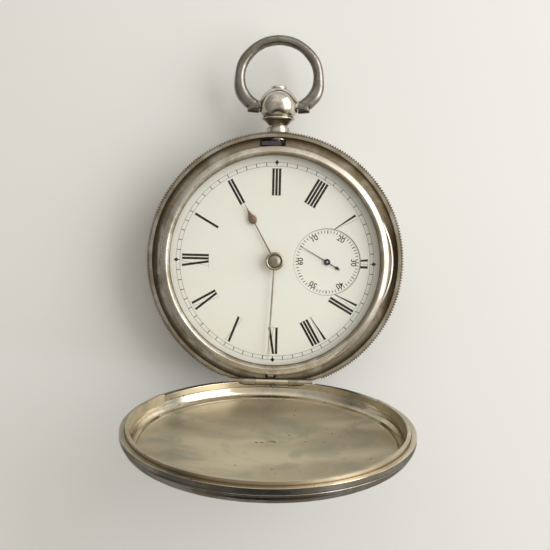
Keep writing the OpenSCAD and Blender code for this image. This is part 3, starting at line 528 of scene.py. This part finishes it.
def digit_meshes(text, size):
    """Flat digits as closed meshes, centred on the origin."""
    curve = bpy.data.curves.new("digits", "FONT")
    curve.body, curve.size, curve.align_x, curve.align_y = text, size, "CENTER", "CENTER"
    curve.extrude, curve.resolution_u, curve.offset = INK_HEIGHT / 2, 4, 0.015
    holder = bpy.data.objects.new("digits", curve)
    bpy.context.scene.collection.objects.link(holder)
    mesh = final_mesh(holder)
    part = [tuple(v.co) for v in mesh.vertices], [tuple(f.vertices) for f in mesh.polygons]
    bpy.data.objects.remove(holder)
    return part


def seconds_printing():
    """Ticks and figures of the seconds dial, with 60 towards -X."""
    low = SECONDS_TOP - INK_SUNK
    parts = []
    for second in range(60):
        ends = SHORT_TICK if second % 5 else LONG_TICK
        parts.append(tick(SECONDS_AT, 180 - second * 6, *ends, low))
    for index, text in enumerate(("60", "10", "20", "30", "40", "50")):
        angle = 180 - index * 60
        part = moved(digit_meshes(text, DIGIT_SIZE), turn=angle - 90)
        (x, y), *_ = arc(SECONDS_AT.x, SECONDS_AT.y, DIGITS_AT, angle, angle, 1)
        parts.append(moved(part, (x, y, low + INK_HEIGHT / 2)))
    new_piece("seconds_printing", parts, "case", INK)


def seconds_rim():
    """The step down to the seconds dial: an enamel lip with a grey edge ring of painted shade."""
    place, r = (SECONDS_AT.x, SECONDS_AT.y, 0), SECONDS_EDGE
    foot, top = SECONDS_TOP - 0.1, DIAL_TOP + 0.004
    lip = [(r, foot), (7.0, foot), (7.0, top), (r + 0.06, top), (r, DIAL_TOP - 0.04)]
    new_piece("seconds_dial_lip", [moved(revolve(lip, 180), place)], "case", ENAMEL)
    # The edge ring is grey: painted shade of the step
    line = [(r - 0.05, SECONDS_TOP), (r + 0.03, DIAL_TOP - 0.05), (r + 0.05, DIAL_TOP + 0.012)]
    line.append((r - 0.03, DIAL_TOP - 0.05))
    edge = moved(revolve(line, 180), place)
    new_piece("seconds_dial_edge", [edge], "case", ENAMEL_STEP_SHADE)


# ---------------------------------------------------------------- the reeded band

BAND_LOW, BAND_HIGH = 4.5, 10.05
# How far the milled skin stands above and below the band
SKIN = 0.02
LAND_IN, LAND_OUT = 24.12, 24.72
FLUTES, FLUTE_ROOT, FLUTE_DEPTH = 290, 24.86, 0.38
FLUTE_STEPS = 6
# Half the arc at -Y that is left to the cover hinges
HINGE_HALF = 23.0


def reeding_section(angle):
    """The skin's outline at an angle: a land and a rib's edge above, the same below, a thin back."""
    low, high = BAND_LOW - SKIN, BAND_HIGH + SKIN
    r = FLUTE_ROOT + FLUTE_DEPTH * abs(math.cos(math.radians(angle) * FLUTES / 2)) ** 1.3
    upper = [(LAND_IN, high - 0.06), (LAND_IN + 0.06, high), (LAND_OUT, high)]
    upper += [(r - 0.08, high - 0.02), (r, high - 0.16)]
    lower = [(x, low + high - z) for x, z in reversed(upper)]
    return upper + lower + [(LAND_IN + 0.1, low + 0.4), (LAND_IN + 0.1, high - 0.4)]


def band_reeding():
    """A milled skin over the band's edge with a flat land above and below; its teeth take a darker
    silver of painted groove shade and grime.
    """
    sweep = 360 - 2 * HINGE_HALF
    steps = round(FLUTES * FLUTE_STEPS * sweep / 360)
    part = revolve(reeding_section, steps, HINGE_HALF - 90, sweep)
    skin = new_piece("band_reeding", [part], "case", CASE, sharp=40)
    # The teeth take the darker reeded silver: painted shade of the grooves, and grime
    skin.data.materials.append(REEDED)
    for face in skin.data.polygons:
        face.material_index = int(face.center.xy.length > (LAND_OUT + 0.02) * MM)


# ---------------------------------------------------------------- the open lid

HINGE = Vector(JOINTS["lid_hinge"]["pos_m"]) / MM
LID_OPEN = -JOINTS["lid_hinge"]["range_deg"][0]
LID_PLANE = HINGE.z
DOME_CHORD = 22.05
# The lid's inside wall begins at this radius, and beyond RIM_R its rim counts as outside
WALL_R, RIM_R = 22.2, 24.3
CATCH_HOLE, CATCH_HOLE_R = Vector((0.2, -23, LID_PLANE + 0.65)), 0.6
# Middle x, y, length and width of each dent
DENTS = ((0.5, -2.8, 1.7, 1.5), (-1.15, -2.6, 0.75, 0.8), (-2.1, -2.55, 0.6, 0.6))


def dome(chord, low, high, steps):
    """Points of a shallow dome from its edge in to the axis, as (radius, height)."""
    rise = high - low
    r = (chord * chord + rise * rise) / (2 * rise)
    radii = np.linspace(chord, 0.02, steps)
    return [(x, high - r + math.sqrt(r * r - x * x)) for x in radii]


def lid_section():
    """The lid's outline: square wall, moulding line, round shoulder; fillet and solder line inside."""
    outside = [(25.0, 0.06), (25.0, 0.86), (24.9, 0.98), (24.78, 1.0), (24.78, 1.06)]
    outside += arc(24.72, 1.2, 0.17, -50, 80, 6)
    outside += [(24.68, 1.44), (24.60, 1.75), (24.40, 2.15), (24.08, 2.52), (23.6, 2.86), (22.9, 3.16)]
    outside += dome(DOME_CHORD, 3.42, 4.8, 26)
    inside = dome(DOME_CHORD - 0.15, 2.95, 4.3, 26)[::-1]
    inside += [(22.02, 2.88), (22.08, 2.98), (22.18, 2.98), (22.24, 2.9), (22.8, 2.82), (23.2, 2.64)]
    inside += [(23.46, 2.4), (23.62, 2.08), (23.74, 1.7), (23.82, 1.3), (23.86, 1.2), (24.0, 1.12)]
    rim = [(24.0, 0.1), (24.06, 0.02), (24.2, 0.0), (24.94, 0.0)]
    return [(r, LID_PLANE + h) for r, h in outside + inside + rim]


def lid_hinge_cuts(shell):
    """Cuts the lid's rim away at its hinge, adds its knuckle and bores that for the pin."""
    near, far = HINGE.y - 0.7, -26.5
    gap = [(-9.0, far), (9.0, far), (9.0, near), (-9.0, near)]
    reliefs = [tube_x(0.8, s * 5.9 - 2.7, s * 5.9 + 2.7, HINGE) for s in (-1, 1)]
    carve(shell, [slab(gap, LID_PLANE - 1, LID_PLANE + 1.9)] + reliefs)
    carve(shell, [tube_x(0.7, -3.2, 3.2, HINGE)], "UNION")
    carve(shell, [tube_x(0.33, -9, 9, HINGE)] + punch_dents())


def lid_shell():
    """Thin domed lid, made closed and then swung open about its hinge."""
    shell = new_piece("lid_shell", [revolve(lid_section(), 288)], "lid", LID)
    lid_hinge_cuts(shell)
    r = CATCH_HOLE_R
    hole = moved(revolve([(0.001, -3), (r, -3), (r, 3), (0.001, 3)], 40), CATCH_HOLE)
    carve(shell, [moved(hole, turn=90, axis="X", about=CATCH_HOLE)])
    shell.data.materials.append(LID_BACK)
    shell.data.materials.append(LID_WALL)
    for face in shell.data.polygons:
        r, z = face.center.xy.length / MM, face.center.z / MM
        outside = face.normal.z > 0.2 or (r > RIM_R and z > LID_PLANE + 0.03)
        face.material_index = 1 if outside else 2 if r > WALL_R else 0
    to_hinge = Matrix.Translation(HINGE * MM)
    swing = Matrix.Rotation(math.radians(LID_OPEN), 4, "X")
    shell.data.transform(to_hinge @ swing @ to_hinge.inverted())
    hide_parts("front_lid")


def tube_x(r, low, high, axis):
    """A cylinder along X about a line through a point."""
    rows = [[(x, axis.y + y, axis.z + z) for y, z in arc(0, 0, r, 0, 360, 40)[:-1]] for x in (low, high)]
    return loft(rows)


def punch_dents():
    """Three shallow plain dents in the middle of the lid's inside."""
    dents = []
    for x, y, length, width in DENTS:
        oval = [(x + length / 2 * c, y + width / 2 * s) for c, s in arc(0, 0, 1, 0, 360, 28)[:-1]]
        dents.append(slab(oval, LID_PLANE + 3.5, LID_PLANE + 4.39))
    return dents


# ---------------------------------------------------------------- bow, hands and centre cap

PIVOT = Vector(JOINTS["bow_swing"]["pos_m"]) / MM
# The bow's reach in X is this much more than its stations say
BOW_WIDTH = 1.02
# A superellipse exponent: 1 gives a round section and less a squarer one
BOW_SQUARENESS = 0.85
# Edges of the bow's right half, from its top down to the foot: inner x, y, outer x, y, half thickness
BOW_STATIONS = [
    (0.0, 42.16, 0.0, 44.06, 0.95),
    (2.2, 41.80, 2.75, 43.62, 0.95),
    (3.95, 40.90, 5.0, 42.40, 0.97),
    (5.34, 39.45, 6.95, 40.55, 1.0),
    (6.2, 38.0, 8.05, 38.60, 1.05),
    (6.58, 36.2, 8.5, 36.30, 1.1),
    (6.36, 34.3, 8.6, 33.80, 1.15),
    (5.63, 32.9, 8.0, 31.90, 1.2),
    (4.8, 32.0, 7.0, 30.65, 1.22),
    (4.15, 31.5, 6.3, 29.98, 1.22),
]
BOW_FOOT = [
    (4.05, 31.42, 6.0, 29.85, 1.2),
    (3.98, 31.38, 5.98, 29.12, 1.2),
    (3.86, 31.36, 4.75, 29.02, 1.2),
    (3.79, 31.34, 3.79, 28.95, 1.2),
]


def smooth_line(points, per_step):
    """A Catmull-Rom line through points of any size, with its ends mirrored on."""
    p = [np.array(q, float) for q in points]
    p = [2 * p[0] - p[1]] + p + [2 * p[-1] - p[-2]]
    line = []
    for i in range(1, len(p) - 2):
        a, b, c, d = p[i - 1 : i + 3]
        for t in np.arange(per_step) / per_step:
            bend = (2 * a - 5 * b + 4 * c - d) * t**2 + (3 * b - a - 3 * c + d) * t**3
            line.append(0.5 * (2 * b + (c - a) * t + bend))
    return line + [p[-2]]


def bow_half(side):
    """Sections of one half of the bow, each a slightly square oval between the two edges."""
    first = BOW_STATIONS[1]
    mirrored = [(-first[0], first[1], -first[2], first[3], first[4])]
    line = smooth_line(mirrored + BOW_STATIONS, 8)[8:] + [np.array(s) for s in BOW_FOOT]
    rows = []
    for in_x, in_y, out_x, out_y, thick in line:
        row = []
        for c, s in arc(0, 0, 1, 0, 360, 32)[:-1]:
            across = math.copysign(abs(c) ** BOW_SQUARENESS, c) / 2 + 0.5
            high = math.copysign(abs(s) ** BOW_SQUARENESS, s) * thick
            x, y = in_x + (out_x - in_x) * across, in_y + (out_y - in_y) * across
            row.append((side * BOW_WIDTH * x, y, PIVOT.z + high))
        rows.append(row)
    return rows


def bow_wire():
    """The bow, both halves in one, and the raised seats of its pivots on the ball."""
    rows = bow_half(-1)[::-1] + bow_half(1)[1:]
    new_piece("bow_wire", [loft(rows)], "bow_ring", BOW, ["bow"], sharp=40)
    seats = []
    for side in (-1, 1):
        profile = [(0.55, 2.95), (1.22, 2.95), (1.22, 3.68), (1.16, 3.75), (0.55, 3.75)]
        ring = revolve(profile, 64)
        ring = moved(ring, turn=side * 90, axis="Y")
        seats.append(moved(ring, (0, PIVOT.y, PIVOT.z)))
    new_piece("pivot_seats", seats, "case", PENDANT)


def about_pendant(profile, steps=96):
    """A turned part on the pendant's axis, from points of (radius, distance from the watch's axis)."""
    part = revolve(profile, steps)
    return moved(moved(part, turn=-90, axis="X"), (0, 0, PIVOT.z))


def pendant_and_button():
    """Onion-shaped ball over a bead, a waist and a collar; a low domed cap shows in its top."""
    ball = [(1.6, 33.5), (1.68, 33.62), (1.85, 33.56), (2.2, 33.34), (2.85, 32.72), (3.34, 31.98)]
    ball += [(3.66, 31.15), (3.75, 30.5), (3.7, 29.8), (3.52, 29.16), (3.24, 28.66), (2.98, 28.38)]
    ball.append((2.9, 28.28))
    bead = [(2.96, 28.22), (3.1, 28.14), (3.2, 28.0), (3.22, 27.88), (3.16, 27.74), (3.0, 27.62)]
    neck = [(2.75, 27.5), (2.4, 27.15), (2.0, 26.75), (1.8, 26.5), (1.76, 26.32), (1.8, 26.2)]
    collar = [(2.05, 26.14), (2.18, 26.06), (2.22, 25.9), (2.22, 24.6), (2.15, 23.7)]
    bore = [(0.93, 23.7), (0.93, 32.9), (1.58, 32.9), (1.6, 33.3)]
    turned = about_pendant(smooth_profile(ball) + bead + neck + collar + bore)
    shell = new_piece("pendant_shell", [turned], "case", PENDANT, ["pendant"])
    carve(shell, [tube_x(0.5, side * 3.6 - 1.4, side * 3.6 + 1.4, PIVOT) for side in (-1, 1)])
    cap = [(0.001, 23.36), (0.9, 23.36), (0.9, 33.5), (1.3, 33.5), (1.5, 33.56), (1.55, 33.7)]
    cap += [(1.55, 34.0), (1.5, 34.1), (1.38, 34.17), (1.0, 34.27), (0.5, 34.33), (0.001, 34.35)]
    turned = about_pendant(cap)
    new_piece("button_cap", [turned], "button", PENDANT, ["push_button"])


def smooth_profile(points):
    """An outline's points with three more eased in between each pair."""
    return [tuple(p) for p in smooth_line(points, 4)]


def ridged(outline, low, high, chamfer):
    """A flat hand with its upper edge taken in: outline points are (x, y), with x along it."""
    shoulder = low + (high - low) * 0.45
    rows = [[(x, y, z) for x, y in outline] for z in (low, shoulder)]
    rows.append([(x, y * chamfer, high) for x, y in outline])
    return loft(rows)


def both_sides(edge):
    """A closed outline from its upper edge, mirrored below the X axis."""
    return [*edge, *[(x, -y) for x, y in reversed(edge) if y > 1e-6]]


# Where the hands point, in degrees from +X
HOUR_DIR, MINUTE_DIR, SECONDS_DIR = 119.2, -92.8, 149.8


def spade_edge():
    """Upper edge of the hour hand: thin stem, round shoulder, long point."""
    head = arc(9.2, 0, 0.86, 166, 58, 16)
    tip = [(9.9, 0.63), (10.4, 0.36), (11.0, 0.17), (11.8, 0.07), (12.8, 0.02)]
    return [(0.9, 0.16), (4.5, 0.12), (8.2, 0.1)] + head + tip


def hour_hand():
    """Spade hour hand on its hub."""
    hub = revolve([(1.15, 9.6), (1.6, 9.6), (1.6, 9.74), (1.54, 9.78), (1.15, 9.78)], 72)
    blade = moved(ridged(both_sides(spade_edge()), 9.62, 9.77, 0.72), turn=HOUR_DIR)
    new_piece("hour_pointer", [blade, hub], "hour_train", COPPER, ["hour_hand"])


def minute_hand():
    """Long slender minute hand on its hub."""
    hub = revolve([(0.85, 10.1), (1.5, 10.1), (1.5, 10.26), (1.44, 10.3), (0.85, 10.3)], 72)
    edge = [(0.9, 0.17), (6.0, 0.17), (14.0, 0.13), (18.2, 0.07), (19.6, 0.03)]
    blade = moved(ridged(both_sides(edge), 10.1, 10.3, 0.25), turn=MINUTE_DIR)
    new_piece("minute_pointer", [blade, hub], "minute_train", PALE, ["minute_hand"])


def seconds_hand():
    """Fine seconds hand with a small pear-shaped tail, on its pin."""
    ring = revolve([(0.24, 8.98), (0.62, 8.98), (0.62, 9.2), (0.55, 9.26), (0.3, 9.26), (0.24, 9.2)], 64)
    edge = [(-2.1, 0.07), (-0.4, 0.09), (0.4, 0.09), (3.0, 0.06), (6.0, 0.03)]
    tail = [(-3.0, 0.02), (-2.75, 0.12), (-2.45, 0.27), (-2.2, 0.3), (-2.0, 0.18), (-1.85, 0.06)]
    parts = [ridged(both_sides(edge), 9.03, 9.13, 0.6), ridged(both_sides(tail), 9.02, 9.14, 0.8)]
    place = (SECONDS_AT.x, SECONDS_AT.y, 0)
    parts = [moved(part, place, SECONDS_DIR) for part in parts] + [moved(ring, place)]
    new_piece("seconds_pointer", parts, "seconds_train", BLUED, ["seconds_hand"])
    pin = revolve([(0.001, 9.0), (0.2, 9.0), (0.2, 9.18), (0.12, 9.22), (0.001, 9.23)], 40)
    new_piece("seconds_pin", [moved(pin, place)], "seconds_train", STEEL)


def centre_cap():
    """Brass collar with a rolled edge round a darker low dome with a punched centre."""
    collar = [(0.85, 10.32), (1.62, 10.32), (1.78, 10.40)] + arc(1.56, 10.6, 0.26, -10, 120, 10)
    collar += [(1.36, 10.76), (1.26, 10.66), (1.2, 10.5), (0.85, 10.5)]
    new_piece("centre_cap", [revolve(collar, 96)], "minute_train", BRASS, ["hand_boss"])
    crown = [(0.85, 10.52), (1.17, 10.52), (1.17, 10.6)]
    crown += [p for p in dome(1.15, 10.66, 10.96, 12) if p[0] > 0.42]
    centre = [(0.37, 10.91), (0.34, 10.88), (0.28, 10.88), (0.25, 10.93), (0.1, 10.95), (0.001, 10.93)]
    inner = [(0.001, 10.76), (0.85, 10.76)]
    new_piece("centre_dome", [revolve(crown + centre + inner, 96)], "minute_train", BRONZE)


# Faces of the bezel inside this radius are the lip, given the darker band silver as painted shade
LIP_R = 20.93
# The crescent's outer edge is an arc about (CRESCENT_X, 0), and its inner edge keeps to CRESCENT_IN
CRESCENT_X, CRESCENT_R, CRESCENT_IN = 7, 16.1, 21.5


def bezel_ring():
    """The polished bezel: a low lip, a crest and a long outer slope."""
    lip = [(21.17, 11.07), (20.66, 11.07), (20.62, 11.1), (20.64, 11.13), (20.72, 11.15)]
    lip += [(20.86, 11.16), (20.92, 11.2)]
    crest = [(20.98, 11.36), (21.04, 11.47), (21.12, 11.53), (21.2, 11.555), (21.3, 11.555)]
    slope = [(21.48, 11.49), (21.74, 11.37), (22.0, 11.24), (22.2, 11.11), (22.31, 10.99)]
    under = [(22.36, 10.85), (22.36, 10.3), (22.2, 9.98), (21.5, 9.92), (20.72, 9.92)]
    under += [(20.58, 10.05), (20.58, 10.58), (21.17, 10.58)]
    part = revolve(lip + crest + slope + under, 256)
    ring = new_piece("bezel_ring", [part], "bezel_frame", BRIGHT, sharp=50)
    # The lip takes the darker band silver: painted shade
    ring.data.materials.append(CASE)
    for face in ring.data.polygons:
        face.material_index = int(face.center.xy.length < LIP_R * MM)


def thumb_crescent():
    """A thin crescent standing out from the bezel at +X, to open it by."""
    plate = [(16.1, 10.2), (16.22, 10.3), (16.2, 10.42), (15.92, 10.6), (15.8, 10.6), (15.7, 10.48)]
    rows = []
    for angle in np.linspace(-35, 35, 121):
        c, s = math.cos(math.radians(angle)), math.sin(math.radians(angle))
        x, y = CRESCENT_X + CRESCENT_R * c, CRESCENT_R * s
        root = CRESCENT_IN / math.hypot(x, y)
        outer = [(CRESCENT_X + r * c, r * s, z) for r, z in plate]
        rows.append(outer + [(root * x, root * y, z) for z in (10.48, 10.2)])
    new_piece("thumb_crescent", [loft(rows)], "bezel_frame", BRIGHT, sharp=50)


dial_printing()
seconds_printing()
seconds_rim()
band_reeding()
bezel_ring()
thumb_crescent()
lid_shell()
bow_wire()
pendant_and_button()
hour_hand()
minute_hand()
seconds_hand()
centre_cap()

# ---------------------------------------------------------------- stage, light and camera

FLOOR_REACH = 6000
# Sky colours from straight below the horizon's level up to overhead
SKY = (
    (0.0, (0.66, 0.62, 0.56)),
    (0.22, (0.60, 0.57, 0.52)),
    (0.45, (0.76, 0.73, 0.67)),
    (0.72, (1.0, 0.97, 0.91)),
    (0.92, (0.82, 0.79, 0.73)),
    (1.0, (0.50, 0.47, 0.42)),
)
WINDOW_AT, WINDOW_SIZE, WINDOW_WATTS = (345, 110, 240), (520, 350), 1.64
WINDOW_COLOUR = (0.985, 0.99, 1.0)
WATCH_MIDDLE = (0, 0, 5)
CAMERA_AT, CAMERA_LENS = (2.97, 9.48, 173.87), 54.8
CAMERA_PITCH, CAMERA_YAW, CAMERA_ROLL = 4.26, -0.99, -1.44


def pale_floor():
    """A round matt floor, wide enough that its edge is never seen."""
    n = surface_nodes("paper_floor")
    tone = n.mix(n.noise(0.02, 3), (0.885, 0.88, 0.845), (0.86, 0.855, 0.82))
    paper = n.finish(Base_Color=tone, Roughness=0.8)
    rim = [(x * MM, y * MM, 0) for x, y in arc(0, 0, FLOOR_REACH, 0, 360, 64)[:-1]]
    mesh = bpy.data.meshes.new("floor")
    mesh.from_pydata(rim, [], [range(len(rim))])
    mesh.materials.append(paper)
    floor = bpy.data.objects.new("floor", mesh)
    bpy.context.scene.collection.objects.link(floor)


def window_light():
    """One large soft window, above and towards +X."""
    light = bpy.data.lights.new("window", "AREA")
    light.shape = "RECTANGLE"
    light.size, light.size_y = (side * MM for side in WINDOW_SIZE)
    light.energy = WINDOW_WATTS
    light.color = WINDOW_COLOUR
    lamp = bpy.data.objects.new("window", light)
    bpy.context.scene.collection.objects.link(lamp)
    lamp.location = Vector(WINDOW_AT) * MM
    lamp.rotation_mode = "QUATERNION"
    aim = Vector(WATCH_MIDDLE) - Vector(WINDOW_AT)
    lamp.rotation_quaternion = aim.to_track_quat("-Z", "Y")


def dimmed(n, direction, near, far, low):
    """Fades from 1 to low where the view comes within near of a direction."""
    aim = n.add("VectorMath", {"operation": "DOT_PRODUCT"})
    n.set(aim.inputs[0], n.place)
    n.set(aim.inputs[1], Vector(direction).normalized())
    fade = n.add("MapRange", {"interpolation_type": "SMOOTHSTEP"}, Value=aim.outputs["Value"])
    for key, value in zip(("From Min", "From Max", "To Min", "To Max"), (far, near, 1.0, low)):
        fade.inputs[key].default_value = value
    return fade.outputs["Result"]


def studio_world():
    """A pale room, darker low down and towards -X, with a dark figure standing at -Y."""
    world = bpy.data.worlds.new("studio")
    n = Nodes(world)
    height = n.add("SeparateXYZ", Vector=n.place).outputs["Z"]
    figure = dimmed(n, (0.05, -0.85, 0.55), 0.92, 0.66, 0.05)
    dim_side = dimmed(n, (-1, -0.2, 0.2), 0.9, 0.1, 0.35)
    strength = n.math("MULTIPLY", figure, dim_side)
    back = n.add("Background", Color=n.ramp(height, *SKY), Strength=strength)
    n.add("OutputWorld", Surface=back.outputs[0])
    bpy.context.scene.world = world


def overhead_camera():
    """Nearly overhead, close, a little towards the pendant."""
    turn = Matrix.Rotation(math.radians(-CAMERA_PITCH), 3, "X")
    turn = turn @ Matrix.Rotation(math.radians(-CAMERA_YAW), 3, "Y")
    turn = turn @ Matrix.Rotation(math.radians(-CAMERA_ROLL), 3, "Z")
    data = bpy.data.cameras.new("camera")
    data.sensor_width, data.lens = 36, CAMERA_LENS
    data.clip_start, data.clip_end = 0.01, 10
    camera = bpy.data.objects.new("camera", data)
    bpy.context.scene.collection.objects.link(camera)
    camera.matrix_world = Matrix.Translation(Vector(CAMERA_AT) * MM) @ turn.to_4x4()
    bpy.context.scene.camera = camera


pale_floor()
studio_world()
window_light()
overhead_camera()
bpy.context.scene.view_settings.view_transform = "Standard"
